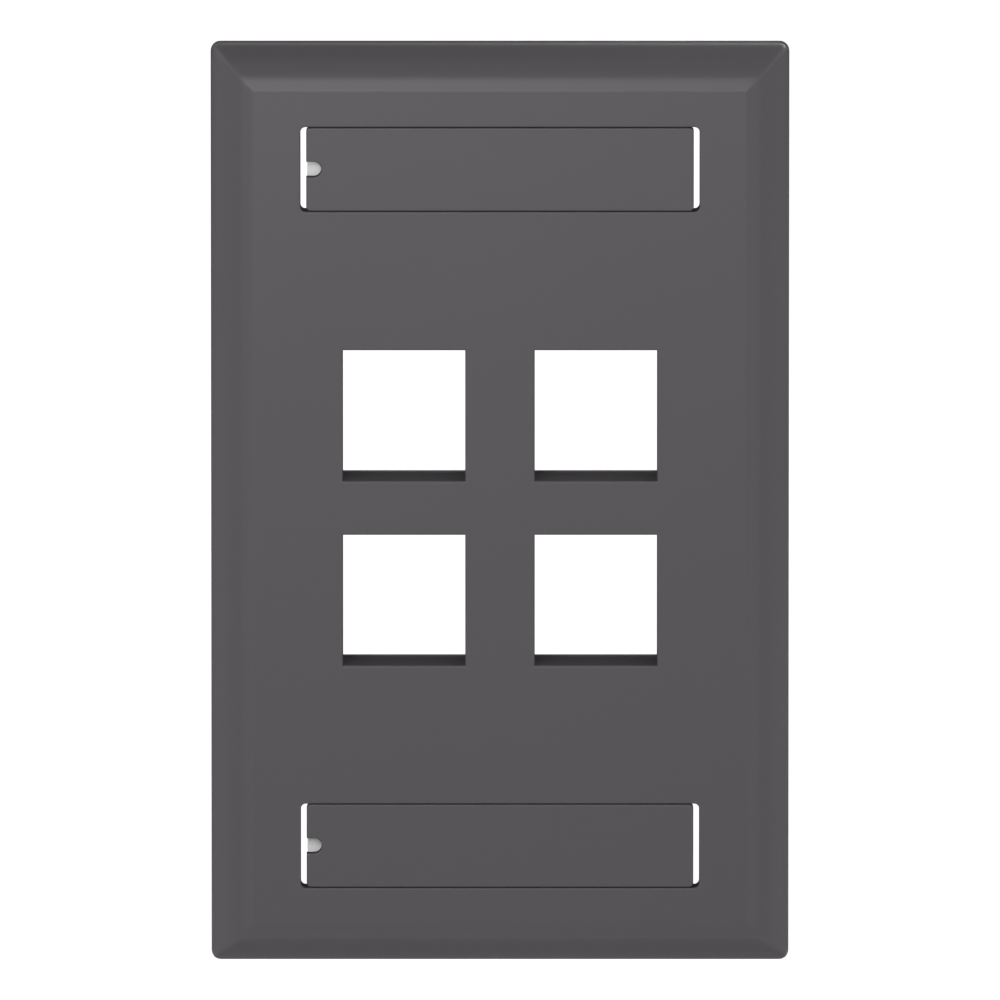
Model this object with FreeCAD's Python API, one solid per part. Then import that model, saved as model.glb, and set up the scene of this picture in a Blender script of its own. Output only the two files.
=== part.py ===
import FreeCAD
import Part
import math
import os
from FreeCAD import Vector

# Four-port keystone faceplate for one wall box, drawn upright as it hangs on the wall.
# X runs across the plate, Z up it, and the front faces -Y. The wall is the plane y = 0 and the
# origin is the centre of the plate on that wall. Every length is in millimetres, and a depth is
# measured back from the flat of the front.

# Plate, a hollow moulding with a crowned bevel and a shallow second facet round its flat
plate_width = 71.1
plate_height = 114.3
plate_depth = 6.6
plate_wall = 2.0
rim_height = 2.0
bevel_width = 3.6
bevel_crown = 0.25
facet_width = 1.6
facet_rise = 0.5
facet_blend = 1.0
corner_radius = 1.2
rim_rounding = 0.7
opening_bevel = 0.15
recess_bevel = 0.12

# Ports, each a passage with a lug pocket and catch below and a latch pocket and ledge above
port_columns = 2
port_rows = 2
port_width = 15.05
port_height = 16.3
port_pitch_x = 23.6
housing_depth = 10.0
housing_wall = 1.4
catch_front = 8.0
catch_land = 0.4
catch_slope = 1.1
lug_pocket_length = 1.5
lug_pocket_height = 1.9
latch_pocket_length = 4.0
latch_pocket_height = 3.4
latch_ledge_height = 1.8

# Label recesses above and below the ports
label_centre = 42.15
recess_length = 49.0
recess_height = 10.5
recess_depth = 1.4
recess_corner = 0.6
recess_floor = 1.6
recess_wall = 1.4
slot_length = 1.7

# Snap-in label covers
cover_end_gap = 0.7
cover_side_gap = 0.08
cover_seat_gap = 0.05
cover_bevel = 0.12
notch_width = 1.9
notch_length = 1.87
leg_width = 1.2
leg_inset = 0.05
leg_bead = 0.2
leg_clearance = 0.05
leg_past_floor = 0.9

# Label cards that lie in a shallow channel under the covers
card_height = 6.0
card_thickness = 0.25
card_cover_gap = 0.1
card_end_inset = 0.1
card_gap = 0.1
card_corner = 0.3

# Mounting screws, 6-32 with a slotted oval head, at the standard pitch of a single wall box
screw_pitch = 83.34
thread_diameter = 3.505
screw_length = 19.05
head_diameter = 6.65
head_angle = 82.0
head_crown = 0.8
head_side_gap = 0.4
head_card_gap = 0.1
drive_width = 1.2
drive_depth = 1.0
neck_diameter = 2.95
tip_chamfer = 0.4
screw_hole_diameter = 4.1
screw_hole_land = 0.7
thread_gap = 0.1
boss_wall = 2.2

# Ribs behind the front wall
rib_thickness = 1.0
rib_setback = 1.5

# Sizes that follow from the ones above
port_pitch_z = port_height + lug_pocket_height + latch_pocket_height + housing_wall
port_xs = [port_pitch_x * (i - (port_columns - 1) / 2) for i in range(port_columns)]
port_zs = [port_pitch_z * (i - (port_rows - 1) / 2) for i in range(port_rows)]
housing_half_x = port_width / 2 + housing_wall
housing_below = port_height / 2 + lug_pocket_height + housing_wall
housing_above = port_height / 2 + latch_pocket_height + housing_wall
cover_length = recess_length - 2 * cover_end_gap
cover_height = recess_height - 2 * cover_side_gap
cover_thickness = recess_depth - cover_seat_gap
channel_height = card_height + 2 * card_gap
channel_bottom = recess_depth + card_cover_gap + card_thickness
floor_back = recess_depth + recess_floor
leg_thickness = slot_length - cover_end_gap - leg_inset - leg_bead - leg_clearance
leg_offset = card_height / 2 + card_gap + leg_clearance + leg_width / 2
head_flare = math.tan(math.radians(head_angle / 2))
seat_depth = channel_bottom + head_card_gap + head_crown
boss_back = seat_depth + (head_diameter - screw_hole_diameter) / 2 / head_flare + screw_hole_land
rib_back = plate_depth - rib_setback
through = housing_depth + screw_length
overshoot = 1.0


def at_depth(depth):
    """The y of a plane that lies this far behind the flat of the front."""
    return depth - plate_depth


def block(x0, x1, near, far, z0, z1):
    """A box between two x, two depths and two z."""
    return Part.makeBox(x1 - x0, far - near, z1 - z0, Vector(x0, at_depth(near), z0))


def face_of(points):
    return Part.Face(Part.makePolygon(points + points[:1]))


def rounded_slab(length, height, radius, near, far, centre_z):
    """A slab with its four long corners rounded, between two depths."""
    slab = block(
        -length / 2, length / 2, near, far, centre_z - height / 2, centre_z + height / 2
    )
    corners = [e for e in slab.Edges if abs(e.BoundBox.YLength - (far - near)) < 1e-6]
    return slab.makeFillet(radius, corners).Solids[0]


def rod(diameter, near, far, centre_z):
    return Part.makeCylinder(
        diameter / 2, far - near, Vector(0, at_depth(near), centre_z), Vector(0, 1, 0)
    )


# The plate's edge profile is the same on all four sides: one extrusion along Z and one along X
# share it, and where they meet they leave the mitred corners.
def edge_profile(half, back):
    left = [
        Vector(-half, back, 0),
        Vector(-half, -rim_height, 0),
        Vector(-half + bevel_width, facet_rise - plate_depth, 0),
        Vector(-half + bevel_width + facet_width, -plate_depth, 0),
    ]
    right = [Vector(-p.x, p.y, 0) for p in reversed(left)]
    return left + right


def crowned_profile(half):
    """The same profile as a face, with its two bevels swelled into shallow arcs."""
    points = edge_profile(half, 0)
    sides = []
    for start, end in zip(points, points[1:] + points[:1]):
        if abs(end.x - start.x - bevel_width) < 1e-6:
            crown = Vector(end.y - start.y, start.x - end.x, 0).normalize() * bevel_crown
            sides.append(Part.Arc(start, (start + end) / 2 + crown, end).toShape())
        else:
            sides.append(Part.makeLine(start, end))
    return Part.Face(Part.Wire(sides))


def profile_bar(half, length):
    """The crowned profile drawn out to a bar, with a soft line at each change of slope."""
    bar = crowned_profile(half).extrude(Vector(0, 0, length))
    bar.translate(Vector(0, 0, -length / 2))
    lines = [
        e for e in bar.Edges
        if abs(e.BoundBox.ZLength - length) < 1e-6 and e.BoundBox.YMax < -rim_height - 1e-3
    ]
    return bar.makeFillet(facet_blend, lines)


def hollow_bar(half, length):
    """The plain profile one wall further in, and open at the back."""
    section = face_of(edge_profile(half, plate_wall + overshoot)).makeOffset2D(-plate_wall, 2)
    bar = section.extrude(Vector(0, 0, length))
    bar.translate(Vector(0, 0, -length / 2))
    return bar


def mitred(bar):
    """What a bar down the plate shares with the same kind of bar across it."""
    down = bar(plate_width / 2, plate_height + plate_width)
    across = bar(plate_height / 2, plate_height + plate_width)
    across.rotate(Vector(0, 0, 0), Vector(0, 1, 0), 90)
    return down.common(across).removeSplitter().Solids[0]


def outer_form():
    body = mitred(profile_bar)
    uprights = [
        e for e in body.Edges
        if abs(e.CenterOfMass.x) > plate_width / 2 - 1e-3
        and abs(e.CenterOfMass.z) > plate_height / 2 - 1e-3
    ]
    body = body.makeFillet(corner_radius, uprights)
    crest = [
        e for e in body.Edges
        if e.BoundBox.YMax > -rim_height - 1e-3
        and e.BoundBox.YMax < -rim_height / 2
        and max(abs(e.CenterOfMass.x) - plate_width / 2, abs(e.CenterOfMass.z) - plate_height / 2)
        > -corner_radius
        and e.Length > corner_radius / 4
    ]
    return body.makeFillet(rim_rounding, crest)


def port_passage(x, z):
    """The way through one port, from before the front to behind the housing."""
    floor = z - port_height / 2
    roof = z + port_height / 2
    catch_land_end = catch_front + catch_land
    lug_top = floor - lug_pocket_height
    latch_top = roof + latch_pocket_height
    ledge = latch_top - latch_ledge_height
    run = housing_depth - catch_land_end
    outline = [
        (-overshoot, floor),
        (catch_front - lug_pocket_length, floor),
        (catch_front - lug_pocket_length, lug_top),
        (catch_front, lug_top),
        (catch_front, floor),
        (catch_land_end, floor),
        (housing_depth, floor - catch_slope),
        (housing_depth + run, floor - catch_slope),
        (housing_depth + run, ledge + catch_slope),
        (housing_depth, ledge + catch_slope),
        (catch_land_end, ledge),
        (catch_front, ledge),
        (catch_front, latch_top),
        (catch_front - latch_pocket_length, latch_top),
        (catch_front - latch_pocket_length, roof),
        (-overshoot, roof),
    ]
    left = x - port_width / 2
    return face_of([Vector(left, at_depth(d), h) for d, h in outline]).extrude(
        Vector(port_width, 0, 0)
    )


def port_housing(x, z):
    return block(
        x - housing_half_x,
        x + housing_half_x,
        plate_wall / 2,
        housing_depth,
        z - housing_below,
        z + housing_above,
    )


def label_tray(centre_z):
    """The step back in the front wall that holds one label, with the screw's boss."""
    half_x = recess_length / 2 + recess_wall
    half_z = recess_height / 2 + recess_wall
    tray = block(-half_x, half_x, plate_wall / 2, floor_back, centre_z - half_z, centre_z + half_z)
    screw_z = math.copysign(screw_pitch / 2, centre_z)
    boss = rod(head_diameter + 2 * boss_wall, plate_wall / 2, boss_back, screw_z)
    return tray.fuse(boss)


def label_cuts(centre_z):
    """The recess, the card's channel in its floor, the two end slots and the screw's seat."""
    screw_z = math.copysign(screw_pitch / 2, centre_z)
    outline = (recess_length, recess_height, recess_corner)
    recess = rounded_slab(*outline, -overshoot, recess_depth, centre_z)
    slots = rounded_slab(*outline, 0, through, centre_z)
    floor_half = recess_length / 2 - slot_length
    between = block(
        -floor_half,
        floor_half,
        -overshoot,
        through + overshoot,
        centre_z - recess_height,
        centre_z + recess_height,
    )
    channel = block(
        -floor_half,
        floor_half,
        0,
        channel_bottom,
        centre_z - channel_height / 2,
        centre_z + channel_height / 2,
    )
    pocket = rod(head_diameter + 2 * head_side_gap, 0, seat_depth, screw_z)
    seat_height = (head_diameter - screw_hole_diameter) / 2 / head_flare
    seat = Part.makeCone(
        head_diameter / 2,
        screw_hole_diameter / 2,
        seat_height,
        Vector(0, at_depth(seat_depth), screw_z),
        Vector(0, 1, 0),
    )
    hole = rod(screw_hole_diameter, seat_depth, through, screw_z)
    return [recess, slots.cut(between), channel, pocket, seat, hole]


def ribs():
    """Thin walls that tie the housings to the rim and to the label trays."""
    half = rib_thickness / 2
    side = port_xs[-1] + housing_half_x
    top = port_zs[-1] + housing_above
    bottom = port_zs[0] - housing_below
    tray_edge = label_centre - recess_height / 2 - recess_wall
    made = []
    for z in port_zs:
        for sign in (-1, 1):
            ends = sorted((sign * (side - housing_wall / 2), sign * plate_width / 2))
            made.append(block(*ends, plate_wall / 2, rib_back, z - half, z + half))
    for x in port_xs:
        upper = (top - housing_wall / 2, tray_edge + recess_wall / 2)
        lower = (-tray_edge - recess_wall / 2, bottom + housing_wall / 2)
        for z0, z1 in (upper, lower):
            made.append(block(x - half, x + half, plate_wall / 2, rib_back, z0, z1))
    inner = port_pitch_x / 2 - housing_half_x + housing_wall / 2
    made.append(block(-inner, inner, plate_wall / 2, rib_back, -half, half))
    return made


def front_edges(body, reach_x, reach_z, centre_z=0.0):
    """Edges in the flat of the front that lie within a field round the given height."""
    found = []
    for e in body.Edges:
        b = e.BoundBox
        if b.YMax > at_depth(0) + 1e-4:
            continue
        if max(-b.XMin, b.XMax) < reach_x and max(centre_z - b.ZMin, b.ZMax - centre_z) < reach_z:
            found.append(e)
    return found


def make_faceplate():
    outer = outer_form()
    shell = outer.cut(mitred(hollow_bar))
    adds = [port_housing(x, z) for x in port_xs for z in port_zs]
    adds += [label_tray(z) for z in (label_centre, -label_centre)]
    adds += [rib.common(outer) for rib in ribs()]
    cuts = [port_passage(x, z) for x in port_xs for z in port_zs]
    for z in (label_centre, -label_centre):
        cuts += label_cuts(z)
    body = shell.fuse(adds).removeSplitter().cut(cuts).removeSplitter().Solids[0]
    ports_reach = port_zs[-1] + housing_above
    ports = front_edges(body, port_xs[-1] + housing_half_x, ports_reach)
    body = body.makeChamfer(opening_bevel, ports).Solids[0]
    for z in (label_centre, -label_centre):
        recess = front_edges(
            body, recess_length / 2 + recess_wall, recess_height / 2 + recess_wall, z
        )
        body = body.makeChamfer(recess_bevel, recess).Solids[0]
    return body


def make_cover(centre_z):
    """A flat cover with a half-round pry notch in its left end and a leg near each corner."""
    slab = rounded_slab(
        cover_length, cover_height, recess_corner - cover_side_gap, 0, cover_thickness, centre_z
    )
    left = -cover_length / 2
    notch_radius = notch_width / 2
    straight = block(
        left - overshoot,
        left + notch_length - notch_radius,
        -overshoot,
        cover_thickness + overshoot,
        centre_z - notch_radius,
        centre_z + notch_radius,
    )
    round_end = rod(notch_width, -overshoot, cover_thickness + overshoot, centre_z)
    round_end.translate(Vector(left + notch_length - notch_radius, 0, 0))
    slab = slab.cut(straight.fuse(round_end)).removeSplitter().Solids[0]
    slab = slab.makeChamfer(cover_bevel, front_edges(slab, recess_length, recess_height, centre_z))
    legs = [snap_leg(end, centre_z + side * leg_offset) for end in (-1, 1) for side in (-1, 1)]
    return slab.fuse(legs).removeSplitter().Solids[0]


def snap_leg(end, centre_z):
    """One leg with a tapered tip and the bead that snaps behind the recess floor."""
    outer_x = cover_length / 2 - leg_inset
    inner_x = outer_x - leg_thickness
    root = cover_thickness / 2
    tip = floor_back + leg_past_floor
    outline = [
        (outer_x, root),
        (outer_x, tip),
        (inner_x + leg_thickness / 3, tip),
        (inner_x, tip - leg_thickness),
        (inner_x, root),
    ]
    z0 = centre_z - leg_width / 2
    leg = face_of([Vector(end * x, at_depth(d), z0) for x, d in outline]).extrude(
        Vector(0, 0, leg_width)
    )
    bead_depth = floor_back + leg_bead + leg_clearance
    bead = Part.makeCylinder(leg_bead, leg_width, Vector(end * inner_x, at_depth(bead_depth), z0))
    return leg.fuse(bead)


def make_card(centre_z):
    return rounded_slab(
        cover_length - 2 * card_end_inset,
        card_height,
        card_corner,
        channel_bottom - card_thickness,
        channel_bottom,
        centre_z,
    )


def make_screw(centre_z):
    """A machine screw turned about its axis, with a short neck under the oval head."""
    head_radius = head_diameter / 2
    neck_radius = neck_diameter / 2
    thread_radius = thread_diameter / 2
    neck_start = seat_depth + (head_radius - neck_radius) / head_flare
    thread_start = boss_back + thread_gap
    thread_lead = thread_start + thread_radius - neck_radius
    tip = seat_depth + screw_length
    outline = [
        (head_radius, seat_depth),
        (neck_radius, neck_start),
        (neck_radius, thread_start),
        (thread_radius, thread_lead),
        (thread_radius, tip - tip_chamfer),
        (thread_radius - tip_chamfer, tip),
        (0, tip),
        (0, seat_depth - head_crown),
    ]
    points = [Vector(r, at_depth(d), 0) for r, d in outline]
    crown_radius = (head_radius**2 + head_crown**2) / 2 / head_crown
    half_angle = math.asin(head_radius / crown_radius) / 2
    middle = Vector(
        crown_radius * math.sin(half_angle),
        at_depth(seat_depth - head_crown + crown_radius * (1 - math.cos(half_angle))),
        0,
    )
    crown = Part.Arc(points[-1], middle, points[0]).toShape()
    sides = [Part.makeLine(a, b) for a, b in zip(points, points[1:])]
    turned = Part.Face(Part.Wire(sides + [crown])).revolve(Vector(0, 0, 0), Vector(0, 1, 0), 360)
    drive = block(
        -head_diameter,
        head_diameter,
        seat_depth - 2 * head_crown,
        seat_depth - head_crown + drive_depth,
        -drive_width / 2,
        drive_width / 2,
    )
    screw = turned.cut(drive)
    screw.translate(Vector(0, 0, centre_z))
    return screw.Solids[0]


def make_pieces():
    return {
        "faceplate": make_faceplate(),
        "upper_label_cover": make_cover(label_centre),
        "lower_label_cover": make_cover(-label_centre),
        "upper_label_card": make_card(label_centre),
        "lower_label_card": make_card(-label_centre),
        "upper_mounting_screw": make_screw(screw_pitch / 2),
        "lower_mounting_screw": make_screw(-screw_pitch / 2),
    }


os.makedirs("parts", exist_ok=True)
for name, shape in make_pieces().items():
    print(name, shape.ShapeType, "valid" if shape.isValid() else "broken", round(shape.Volume, 2))
    shape.exportStep(os.path.join("parts", name + ".step"))
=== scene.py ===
import bpy
import bmesh
import math
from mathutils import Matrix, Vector


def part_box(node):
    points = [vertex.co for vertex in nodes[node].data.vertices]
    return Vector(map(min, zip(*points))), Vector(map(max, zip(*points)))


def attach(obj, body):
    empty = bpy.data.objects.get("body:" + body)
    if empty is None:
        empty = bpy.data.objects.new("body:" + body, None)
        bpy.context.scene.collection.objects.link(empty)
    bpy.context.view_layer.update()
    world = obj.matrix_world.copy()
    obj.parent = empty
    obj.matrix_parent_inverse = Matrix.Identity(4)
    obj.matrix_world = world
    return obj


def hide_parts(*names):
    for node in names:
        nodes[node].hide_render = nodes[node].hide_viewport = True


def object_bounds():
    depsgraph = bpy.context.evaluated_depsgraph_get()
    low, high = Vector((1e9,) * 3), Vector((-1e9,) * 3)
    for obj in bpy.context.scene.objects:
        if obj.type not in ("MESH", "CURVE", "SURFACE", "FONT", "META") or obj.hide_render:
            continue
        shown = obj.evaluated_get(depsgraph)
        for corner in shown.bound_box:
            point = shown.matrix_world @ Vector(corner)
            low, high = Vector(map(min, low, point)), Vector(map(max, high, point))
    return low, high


# A four-port keystone faceplate, hung upright on its two screws and seen from a little above.

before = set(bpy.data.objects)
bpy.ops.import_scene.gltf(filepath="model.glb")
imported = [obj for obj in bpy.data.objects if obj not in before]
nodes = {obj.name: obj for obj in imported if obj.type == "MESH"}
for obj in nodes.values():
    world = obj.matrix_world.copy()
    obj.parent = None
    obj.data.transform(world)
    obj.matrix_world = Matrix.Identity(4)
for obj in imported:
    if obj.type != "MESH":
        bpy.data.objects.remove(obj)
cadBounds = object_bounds()
print("frame loaded with", len(nodes), "nodes")


def addNode(tree, kind, settings=None, inputs=None):
    node = tree.nodes.new(kind)
    for name, value in (settings or {}).items():
        setattr(node, name, value)
    for name, value in (inputs or {}).items():
        node.inputs[name].default_value = value
    return node


def join(tree, outNode, outSocket, inNode, inSocket):
    tree.links.new(outNode.outputs[outSocket], inNode.inputs[inSocket])


def addMath(tree, operation, first=None, second=None, third=None, clamp=False):
    node = addNode(tree, "ShaderNodeMath", {"operation": operation, "use_clamp": clamp})
    for i, given in enumerate((first, second, third)):
        if given is None:
            continue
        if isinstance(given, (int, float)):
            node.inputs[i].default_value = given
        else:
            tree.links.new(given, node.inputs[i])
    return node.outputs[0]


def addObject(name, data):
    item = bpy.data.objects.new(name, data)
    bpy.context.scene.collection.objects.link(item)
    return item


# A shader node group with its own named sockets, and its two end nodes
def newGroup(name, inputs, outputs):
    group = bpy.data.node_groups.new(name, "ShaderNodeTree")
    for label, value in inputs.items():
        socket = group.interface.new_socket(label, in_out="INPUT", socket_type="NodeSocketFloat")
        socket.default_value = value
    for label, kind in outputs.items():
        group.interface.new_socket(label, in_out="OUTPUT", socket_type=kind)
    return group, group.nodes.new("NodeGroupInput"), group.nodes.new("NodeGroupOutput")


skinDetail = {"Stipple": 2.0, "Ripple": 1.0, "Drift": 3.0}


# Fine moulded skin: a stipple too small to see one by one, a slow ripple and a drift of tone
def makeSkinGroup():
    group, given, result = newGroup(
        "mouldedSkin",
        {"Stipple Size": 0.0003, "Ripple Size": 0.004, "Drift Size": 0.03, "Stipple Share": 0.35},
        {"Height": "NodeSocketFloat", "Drift": "NodeSocketFloat"},
    )
    place = addNode(group, "ShaderNodeTexCoord")
    noises = {}
    for label, detail in skinDetail.items():
        scale = addMath(group, "DIVIDE", 1.0, given.outputs[label + " Size"])
        noise = addNode(group, "ShaderNodeTexNoise", inputs={"Detail": detail, "Roughness": 0.5})
        join(group, place, "Object", noise, "Vector")
        group.links.new(scale, noise.inputs["Scale"])
        noises[label] = noise.outputs["Fac"]
    share = given.outputs["Stipple Share"]
    height = addMath(group, "MULTIPLY_ADD", noises["Stipple"], share, noises["Ripple"])
    group.links.new(height, result.inputs["Height"])
    group.links.new(noises["Drift"], result.inputs["Drift"])
    return group


edgeSamples = 6


# Edges as a mould leaves them: rounded a little in the shading, with a mask along the turn.
# Outside the given half sizes, where the mitres run, the rounding is wider.
def makeEdgeGroup():
    group, given, result = newGroup(
        "softEdge",
        {"Radius": 0.0002, "Rim Radius": 0.0006, "Half X": 0.031, "Half Z": 0.0526, "Strength": 4.0},
        {"Normal": "NodeSocketVector", "Edge": "NodeSocketFloat"},
    )
    place = addNode(group, "ShaderNodeTexCoord")
    spot = addNode(group, "ShaderNodeSeparateXYZ")
    join(group, place, "Object", spot, 0)
    beyond = []
    for axis in "XZ":
        away = addMath(group, "ABSOLUTE", spot.outputs[axis])
        beyond.append(addMath(group, "GREATER_THAN", away, given.outputs["Half " + axis]))
    rim = addMath(group, "MAXIMUM", *beyond)
    wider = addMath(group, "SUBTRACT", given.outputs["Rim Radius"], given.outputs["Radius"])
    radius = addMath(group, "MULTIPLY_ADD", rim, wider, given.outputs["Radius"])
    rounded = addNode(group, "ShaderNodeBevel", {"samples": edgeSamples})
    group.links.new(radius, rounded.inputs["Radius"])
    surface = addNode(group, "ShaderNodeNewGeometry")
    turn = addNode(group, "ShaderNodeVectorMath", {"operation": "DOT_PRODUCT"})
    join(group, rounded, "Normal", turn, 0)
    join(group, surface, "Normal", turn, 1)
    away = addMath(group, "SUBTRACT", 1.0, turn.outputs["Value"])
    mask = addMath(group, "MULTIPLY", away, given.outputs["Strength"], clamp=True)
    join(group, rounded, "Normal", result, "Normal")
    group.links.new(mask, result.inputs["Edge"])
    return group


# One on the sides that only the mould's core touched: the passages, the pockets and the back.
# Their walls, which slid along the core, have a mask of their own, where the plastic is darkened with
# painted shade.
def makeInsideGroup():
    group, given, result = newGroup(
        "coreSide",
        {"Half Width": 0.0336, "Half Height": 0.0552, "Turn Slope": 6.0, "Turn Start": 2.5},
        {"Inside": "NodeSocketFloat", "Wall": "NodeSocketFloat"},
    )
    place = addNode(group, "ShaderNodeTexCoord")
    spot = addNode(group, "ShaderNodeSeparateXYZ")
    facing = addNode(group, "ShaderNodeSeparateXYZ")
    join(group, place, "Object", spot, 0)
    join(group, place, "Normal", facing, 0)
    slope, offset = given.outputs["Turn Slope"], given.outputs["Turn Start"]
    turned = addMath(group, "MULTIPLY_ADD", facing.outputs["Y"], slope, offset, clamp=True)
    across = addMath(group, "ABSOLUTE", spot.outputs["X"])
    upright = addMath(group, "ABSOLUTE", spot.outputs["Z"])
    narrow = addMath(group, "LESS_THAN", across, given.outputs["Half Width"])
    low = addMath(group, "LESS_THAN", upright, given.outputs["Half Height"])
    within = addMath(group, "MULTIPLY", narrow, low)
    behind = addMath(group, "MULTIPLY", within, turned)
    group.links.new(behind, result.inputs["Inside"])
    level = addMath(group, "ABSOLUTE", facing.outputs["Y"])
    upended = addMath(group, "SUBTRACT", 1.0, level, clamp=True)
    wall = addMath(group, "MULTIPLY", behind, upended)
    group.links.new(wall, result.inputs["Wall"])
    return group


skinGroup = makeSkinGroup()
edgeGroup = makeEdgeGroup()
insideGroup = makeInsideGroup()
print("node groups made")


def newMaterial(name):
    material = bpy.data.materials.new(name)
    material.use_nodes = True
    tree = material.node_tree
    tree.nodes.clear()
    output = addNode(tree, "ShaderNodeOutputMaterial")
    shader = addNode(tree, "ShaderNodeBsdfPrincipled")
    join(tree, shader, "BSDF", output, "Surface")
    return material, tree, shader


def placeGroup(tree, group, values):
    return addNode(tree, "ShaderNodeGroup", {"node_tree": group}, values)


def mixColours(tree, first, second, factor):
    mix = addNode(tree, "ShaderNodeMix", {"data_type": "RGBA"})
    sockets = [s for s in mix.inputs if s.type == "RGBA"]
    for socket, given in zip(sockets, (first, second)):
        if isinstance(given, tuple):
            socket.default_value = given
        else:
            tree.links.new(given, socket)
    tree.links.new(factor, mix.inputs["Factor"])
    return [s for s in mix.outputs if s.type == "RGBA"][0]


# Relief of a given depth in metres, laid over a softened edge
def addRelief(tree, shader, height, depth, normal=None):
    bump = addNode(tree, "ShaderNodeBump", inputs={"Strength": 1.0, "Distance": depth})
    tree.links.new(height, bump.inputs["Height"])
    if normal:
        tree.links.new(normal, bump.inputs["Normal"])
    join(tree, bump, "Normal", shader, "Normal")


# Semi-matt moulded plastic, coloured all through, with a painted highlight along its edges and painted
# shade on its inner walls
def makePlastic(look):
    material, tree, shader = newMaterial(look["name"])
    skin = placeGroup(tree, skinGroup, look["skin"])
    edge = placeGroup(tree, edgeGroup, look["edge"])
    core = placeGroup(tree, insideGroup, look["core"])
    base = mixColours(tree, look["colour"], look["driftColour"], skin.outputs["Drift"])
    # Painted highlight: the edge mask lightens the colour along every turned edge
    edgeHighlighted = mixColours(tree, base, look["edgeHighlightColour"], edge.outputs["Edge"])
    # Painted shade: the walls inside the passages, pockets and back are darkened
    wallShaded = mixColours(tree, edgeHighlighted, look["wallShadeColour"], core.outputs["Wall"])
    tree.links.new(wallShaded, shader.inputs["Base Color"])
    drift = addMath(tree, "SUBTRACT", skin.outputs["Drift"], 0.5)
    outside = addMath(tree, "MULTIPLY_ADD", drift, look["roughnessSpread"], look["roughness"])
    rise = addMath(tree, "MULTIPLY", core.outputs["Inside"], look["coreRoughness"] - look["roughness"])
    rough = addMath(tree, "ADD", outside, rise)
    tree.links.new(rough, shader.inputs["Roughness"])
    shader.inputs["Specular IOR Level"].default_value = look["specular"]
    addRelief(tree, shader, skin.outputs["Height"], look["relief"], edge.outputs["Normal"])
    return material


def dress(names, material):
    for name in names:
        slots = nodes[name].data.materials
        slots.clear()
        slots.append(material)


platePlastic = {
    "name": "dark_grey_plastic",
    "colour": (0.0725, 0.0655, 0.0725, 1.0),
    "driftColour": (0.0688, 0.062, 0.0688, 1.0),
    # A lighter colour painted along the edges as a highlight
    "edgeHighlightColour": (0.105, 0.101, 0.107, 1.0),
    # A darker colour painted on the inner walls as shade
    "wallShadeColour": (0.047, 0.0428, 0.047, 1.0),
    "roughness": 0.38,
    "roughnessSpread": 0.05,
    "coreRoughness": 1.0,
    "specular": 0.35,
    "skin": {"Stipple Size": 0.00022, "Ripple Size": 0.0035, "Drift Size": 0.022},
    "relief": 0.000006,
    "edge": {"Radius": 0.00018, "Rim Radius": 0.0011, "Strength": 3.0},
    "core": {"Half Width": 0.0336, "Half Height": 0.0552},
}
dress(["faceplate"], makePlastic(platePlastic))

coverPlastic = dict(
    platePlastic,
    name="cover_plastic",
    colour=(0.073, 0.066, 0.073, 1.0),
    driftColour=(0.0692, 0.0625, 0.0692, 1.0),
    roughness=0.37,
)
dress(["upper_label_cover", "lower_label_cover"], makePlastic(coverPlastic))
print("plate and covers dressed")


cardLook = {
    "name": "white_card",
    "colour": (0.93, 0.93, 0.925, 1.0),
    "fibreColour": (0.87, 0.87, 0.865, 1.0),
    "fibreSize": 0.00035,
    "fibreDetail": 4.0,
    "fibreTwist": 0.8,
    "relief": 0.000012,
    "roughness": 0.85,
    "specular": 0.3,
}


# Plain white card with a faint felt of fibres
def makeCard(look):
    material, tree, shader = newMaterial(look["name"])
    place = addNode(tree, "ShaderNodeTexCoord")
    felt = {
        "Scale": 1 / look["fibreSize"],
        "Detail": look["fibreDetail"],
        "Distortion": look["fibreTwist"],
    }
    fibre = addNode(tree, "ShaderNodeTexNoise", inputs=felt)
    join(tree, place, "Object", fibre, "Vector")
    tint = mixColours(tree, look["colour"], look["fibreColour"], fibre.outputs["Fac"])
    tree.links.new(tint, shader.inputs["Base Color"])
    shader.inputs["Roughness"].default_value = look["roughness"]
    shader.inputs["Specular IOR Level"].default_value = look["specular"]
    addRelief(tree, shader, fibre.outputs["Fac"], look["relief"])
    return material


dress(["upper_label_card", "lower_label_card"], makeCard(cardLook))
print("cards dressed")


zincLook = {
    "name": "zinc_plated_steel",
    "colour": (0.60, 0.59, 0.56, 1.0),
    "dullColour": (0.46, 0.45, 0.43, 1.0),
    "patchSize": 0.0012,
    "patchDetail": 3.0,
    "grainSize": 0.00012,
    "grainDetail": 2.0,
    "roughness": (0.24, 0.42),
    "relief": 0.000004,
    "edge": {"Radius": 0.00006, "Strength": 2.0},
}


# Zinc plating: bright crests, duller patches and a fine grain
def makeZinc(look):
    material, tree, shader = newMaterial(look["name"])
    place = addNode(tree, "ShaderNodeTexCoord")
    noises = []
    for label in ("patch", "grain"):
        values = {"Scale": 1 / look[label + "Size"], "Detail": look[label + "Detail"]}
        noises.append(addNode(tree, "ShaderNodeTexNoise", inputs=values))
        join(tree, place, "Object", noises[-1], "Vector")
    patches, grain = noises
    edge = placeGroup(tree, edgeGroup, look["edge"])
    dulled = mixColours(tree, look["colour"], look["dullColour"], patches.outputs["Fac"])
    bright = mixColours(tree, dulled, look["colour"], edge.outputs["Edge"])
    tree.links.new(bright, shader.inputs["Base Color"])
    low, high = look["roughness"]
    rough = addMath(tree, "MULTIPLY_ADD", patches.outputs["Fac"], high - low, low)
    tree.links.new(rough, shader.inputs["Roughness"])
    shader.inputs["Metallic"].default_value = 1.0
    addRelief(tree, shader, grain.outputs["Fac"], look["relief"], edge.outputs["Normal"])
    return material


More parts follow.
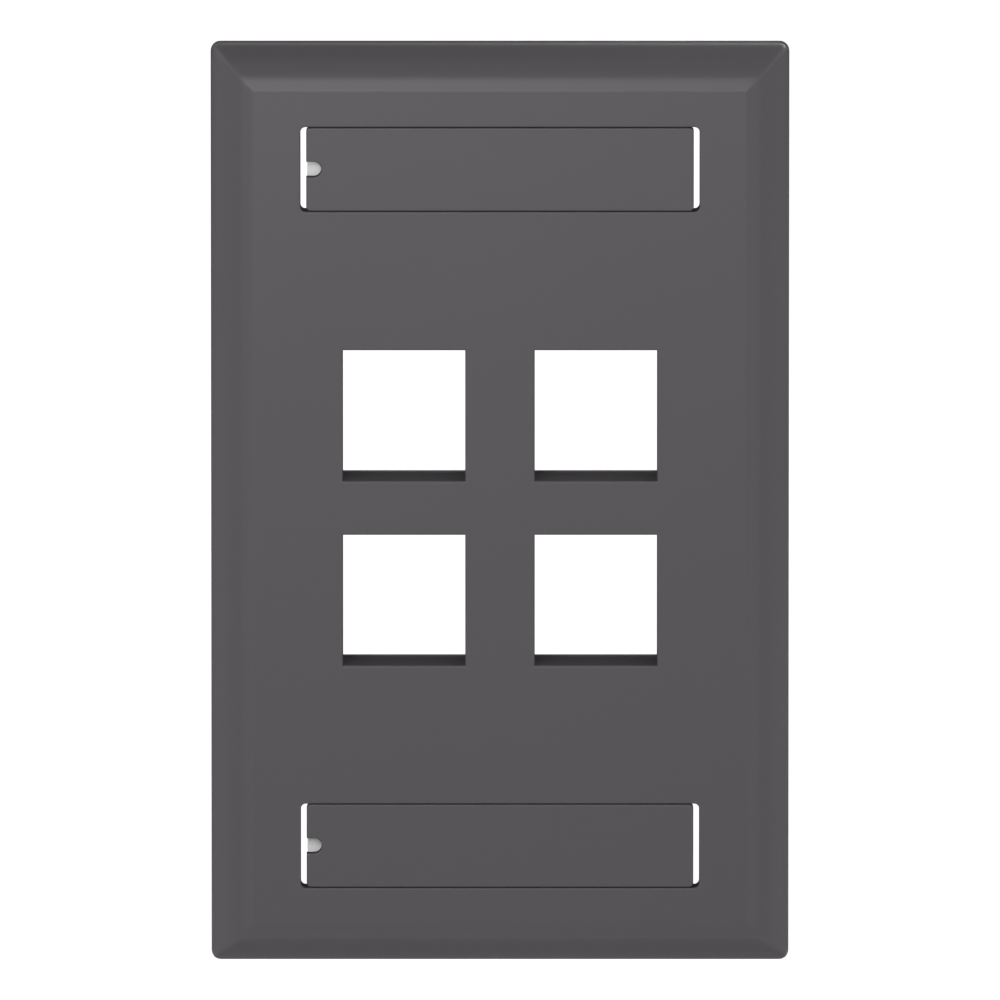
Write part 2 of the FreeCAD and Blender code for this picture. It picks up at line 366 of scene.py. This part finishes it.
screwLook = {
    "pitch": 0.000794,
    "crestRadius": 0.0017525,
    "rootRadius": 0.00132,
    "crestFlat": 0.0001,
    "rootFlat": 0.00012,
    "stepsPerTurn": 28,
    "neckCut": -0.00172,  # where the thread takes over from the smooth neck
    "runIn": 0.0006,
    "tipBevel": 0.0004,
    "smoothAngle": 32,
}


# Points of a screw nearer than these are taken as one: on a cut, round the head, along the helix
cutReach = 1e-8
rimReach = 1e-7
seamReach = 1e-6


# Faces shade smoothly except across edges sharper than this
def shadeByAngle(bm, degrees):
    for face in bm.faces:
        face.smooth = True
    for edge in bm.edges:
        edge.smooth = edge.is_manifold and edge.calc_face_angle() < math.radians(degrees)


# A square cut across the screw: both parts stay unless the options clear one
def cutAcross(bm, y, **options):
    geometry = bm.verts[:] + bm.edges[:] + bm.faces[:]
    bmesh.ops.bisect_plane(bm, geom=geometry, plane_co=(0, y, 0), plane_no=(0, 1, 0), **options)


# Keeps the part on one side of a square cut and closes it there
def clearBeyond(bm, y, keepLower):
    cutAcross(bm, y, dist=cutReach, clear_outer=keepLower, clear_inner=not keepLower)
    rim = [e for e in bm.edges if e.is_boundary and max(abs(v.co.y - y) for v in e.verts) < rimReach]
    bmesh.ops.edgeloop_fill(bm, edges=rim)


# A rolled thread: one pitch of its outline swept along the helix, then cut square at both ends
def makeThread(look, tip):
    pitch = look["pitch"]
    flank = (pitch - look["crestFlat"] - look["rootFlat"]) / 2
    start = look["neckCut"] - pitch
    root, crest = look["rootRadius"], look["crestRadius"]
    outline = [
        (root, 0),
        (root, look["rootFlat"]),
        (crest, look["rootFlat"] + flank),
        (crest, look["rootFlat"] + flank + look["crestFlat"]),
        (root, pitch),
    ]
    bm = bmesh.new()
    verts = [bm.verts.new((r, start + y, 0)) for r, y in outline]
    edges = [bm.edges.new(pair) for pair in zip(verts, verts[1:])]
    turns = math.ceil((tip - start) / pitch) + 1
    steps = look["stepsPerTurn"]
    bmesh.ops.spin(
        bm,
        geom=verts + edges,
        cent=(0, 0, 0),
        axis=(0, 1, 0),
        dvec=(0, pitch / steps, 0),
        angle=math.tau * turns,
        steps=steps * turns,
        use_merge=False,
        use_duplicate=False,
    )
    bmesh.ops.remove_doubles(bm, verts=bm.verts, dist=seamReach)
    for y in (look["neckCut"] + look["runIn"], tip - look["tipBevel"]):
        cutAcross(bm, y)
    clearBeyond(bm, look["neckCut"], keepLower=False)
    clearBeyond(bm, tip, keepLower=True)
    for vert in bm.verts:
        radius = math.hypot(vert.co.x, vert.co.z)
        climb = root + (vert.co.y - look["neckCut"]) / look["runIn"] * (crest - root)
        fall = crest - (vert.co.y - tip + look["tipBevel"])
        most = min(climb, fall, crest)
        if radius > most:
            vert.co.x *= most / radius
            vert.co.z *= most / radius
    bmesh.ops.recalc_face_normals(bm, faces=bm.faces)
    return bm


# The carried-over screw keeps its head and neck, and gets a real thread behind them
def makeScrew(name, look, material):
    low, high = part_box(name)
    head = bmesh.new()
    head.from_mesh(nodes[name].data)
    bmesh.ops.remove_doubles(head, verts=head.verts, dist=rimReach)
    clearBeyond(head, look["neckCut"], keepLower=True)
    thread = makeThread(look, high[1])
    bmesh.ops.translate(thread, verts=thread.verts, vec=(0, 0, (low[2] + high[2]) / 2))
    mesh = bpy.data.meshes.new(name + "_threaded")
    thread.to_mesh(mesh)
    head.from_mesh(mesh)
    shadeByAngle(head, look["smoothAngle"])
    head.to_mesh(mesh)
    head.free()
    thread.free()
    mesh.materials.append(material)
    screw = addObject(name + "_threaded", mesh)
    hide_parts(name)
    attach(screw, "plate")


zinc = makeZinc(zincLook)
for name in ("upper_mounting_screw", "lower_mounting_screw"):
    makeScrew(name, screwLook, zinc)
print("screws threaded")


# Pale studio: a floor below the hung plate and white beyond it
studio = {
    "floorDrop": 0.25,
    "floorSize": 8.0,
    "floorColour": (0.80, 0.80, 0.80, 1.0),
    "floorRoughness": 0.9,
    "floorSpecular": 0.2,
    "floorLift": 0.75,
    "worldLight": 0.42,
    "white": (1.0, 1.0, 1.0, 1.0),
}


# One for rays that show the surroundings: from the camera, mirrored or through glass
def rayFromCamera(tree):
    path = addNode(tree, "ShaderNodeLightPath")
    first = addMath(tree, "MAXIMUM", path.outputs["Is Camera Ray"], path.outputs["Is Glossy Ray"])
    return addMath(tree, "MAXIMUM", first, path.outputs["Is Transmission Ray"])


def makeWorld():
    world = bpy.data.worlds.new("studio")
    bpy.context.scene.world = world
    world.use_nodes = True
    tree = world.node_tree
    tree.nodes.clear()
    output = addNode(tree, "ShaderNodeOutputWorld")
    mix = addNode(tree, "ShaderNodeMixShader")
    tree.links.new(rayFromCamera(tree), mix.inputs[0])
    for i, strength in enumerate((studio["worldLight"], 1.0)):
        values = {"Strength": strength, "Color": studio["white"]}
        join(tree, addNode(tree, "ShaderNodeBackground", inputs=values), 0, mix, i + 1)
    join(tree, mix, 0, output, "Surface")


# A flat rectangle between two opposite corners, thin along whichever axis they share
def makePanel(name, low, high, material):
    flat = [i for i in range(3) if low[i] == high[i]][0]
    first, second = [i for i in range(3) if i != flat]
    bm = bmesh.new()
    corners = []
    for u, v in ((low, low), (high, low), (high, high), (low, high)):
        spot = [0, 0, 0]
        spot[flat], spot[first], spot[second] = low[flat], u[first], v[second]
        corners.append(bm.verts.new(spot))
    bm.faces.new(corners)
    mesh = bpy.data.meshes.new(name)
    bm.to_mesh(mesh)
    bm.free()
    panel = addObject(name, mesh)
    mesh.materials.append(material)
    return panel


def makeFloor():
    material, tree, shader = newMaterial("pale_floor")
    shader.inputs["Base Color"].default_value = studio["floorColour"]
    shader.inputs["Roughness"].default_value = studio["floorRoughness"]
    shader.inputs["Specular IOR Level"].default_value = studio["floorSpecular"]
    shader.inputs["Emission Color"].default_value = studio["white"]
    lift = addMath(tree, "MULTIPLY", rayFromCamera(tree), studio["floorLift"])
    tree.links.new(lift, shader.inputs["Emission Strength"])
    half = studio["floorSize"] / 2
    height = cadBounds[0].z - studio["floorDrop"]
    makePanel("floor", (-half, -half, height), (half, half, height), material)


# Dark cards that the camera doesn't see, over the plate and behind it
flags = {
    "top_flag": {"low": (-0.45, -0.02, 0.48), "high": (0.45, 0.2, 0.48), "tone": 0.01},
    "back_flag": {"low": (-0.12, 0.2, -0.04), "high": (0.12, 0.2, 0.16), "tone": 0.01},
}

# Cards there in mirrored light alone: they keep the white surroundings out of ports and rims
mirroredFlags = {
    "near_flag": {"low": (-0.03, 0.05, -0.06), "high": (0.03, 0.05, 0.05), "tone": 0.01},
    "wide_flag": {"low": (-0.6, 0.22, 0.0), "high": (0.6, 0.22, 0.13), "tone": 0.01},
    "low_flag": {"low": (-0.3, 0.0, -0.29), "high": (0.3, 0.45, -0.29), "tone": 0.6},
    "left_flag": {"low": (-0.5, 0.25, -0.3), "high": (-0.5, 0.9, 0.1), "tone": 0.4},
    "right_flag": {"low": (0.5, 0.25, -0.3), "high": (0.5, 0.9, 0.1), "tone": 0.5},
}


def makeFlags():
    for name, look in (flags | mirroredFlags).items():
        material, tree, shader = newMaterial(name)
        shader.inputs["Base Color"].default_value = (look["tone"], look["tone"], look["tone"], 1.0)
        shader.inputs["Specular IOR Level"].default_value = 0.0
        flag = makePanel(name, look["low"], look["high"], material)
        flag.visible_camera = False
        if name in mirroredFlags:
            flag.visible_diffuse = False
            flag.visible_shadow = False


# Each lamp faces the middle of the plate or its own aim. The soft ones behind aren't mirrored
# in it, and a grid in degrees keeps the glint to the right corner of the top edge.
lamps = {
    "key": {"azimuth": -10, "elevation": 22, "distance": 0.36, "size": 0.24, "watts": 0.635},
    "fill": {"azimuth": 40, "elevation": -4, "distance": 0.9, "size": 0.6, "watts": 0.55},
    "side": {"azimuth": -36, "elevation": -10, "distance": 0.9, "size": 0.3, "watts": 0.18},
    "kicker_left": {"azimuth": -84, "elevation": 38, "distance": 0.6, "size": 0.13, "watts": 0.36},
    "kicker_right": {"azimuth": 84, "elevation": 38, "distance": 0.6, "size": 0.13, "watts": 0.4},
    "rim": {"azimuth": 167, "elevation": 49, "distance": 0.5, "size": 0.05, "watts": 0.15},
    "glint": {"azimuth": 145, "elevation": 42, "distance": 0.5, "size": 0.03, "watts": 0.002, "grid": 8},
    "back_left": {"azimuth": -150, "elevation": 0, "distance": 0.9, "size": 0.3, "watts": 2.3},
    "back_right": {"azimuth": 150, "elevation": 0, "distance": 0.9, "size": 0.3, "watts": 2.3},
}
aims = {"rim": (0, 0, 0.0572), "glint": (0.034, 0, 0.0567)}
softLamps = ("back_left", "back_right")


# Puts a lamp or camera out from its aim, in degrees round from the front and up, facing the aim
def setOut(item, azimuth, elevation, distance, aim):
    turn, rise = math.radians(azimuth), math.radians(elevation)
    level = math.cos(rise)
    away = Vector((math.sin(turn) * level, -math.cos(turn) * level, math.sin(rise)))
    item.location = away * distance + Vector(aim)
    item.rotation_euler = (-away).to_track_quat("-Z", "Y").to_euler()


def makeLamps():
    for name, look in lamps.items():
        data = bpy.data.lights.new(name, "AREA")
        data.shape = "SQUARE"
        data.size = look["size"]
        data.energy = look["watts"]
        data.spread = math.radians(look.get("grid", 180))
        lamp = addObject(name, data)
        aim = aims.get(name, (0, 0, 0))
        setOut(lamp, look["azimuth"], look["elevation"], look["distance"], aim)
        lamp.visible_camera = False
        lamp.visible_glossy = name not in softLamps


makeWorld()
makeFloor()
makeFlags()
makeLamps()
print("studio lit")


# The camera looks straight at the plate from a little above, from far off with a long lens
lookout = {
    "elevation": 9.5,
    "distance": 5.0,
    "frameWidth": 0.1231,
    "sensor": 36.0,
    "aim": (0.0, 0.0, -0.00008),
    "nearest": 0.1,
    "farthest": 50.0,
}


def makeCamera():
    data = bpy.data.cameras.new("camera")
    data.sensor_width = lookout["sensor"]
    data.lens = lookout["sensor"] * lookout["distance"] / lookout["frameWidth"]
    camera = addObject("camera", data)
    setOut(camera, 0, lookout["elevation"], lookout["distance"], lookout["aim"])
    data.clip_start = lookout["nearest"]
    data.clip_end = lookout["farthest"]
    bpy.context.scene.camera = camera
    bpy.context.scene.view_settings.view_transform = "Standard"


makeCamera()
print("camera set")
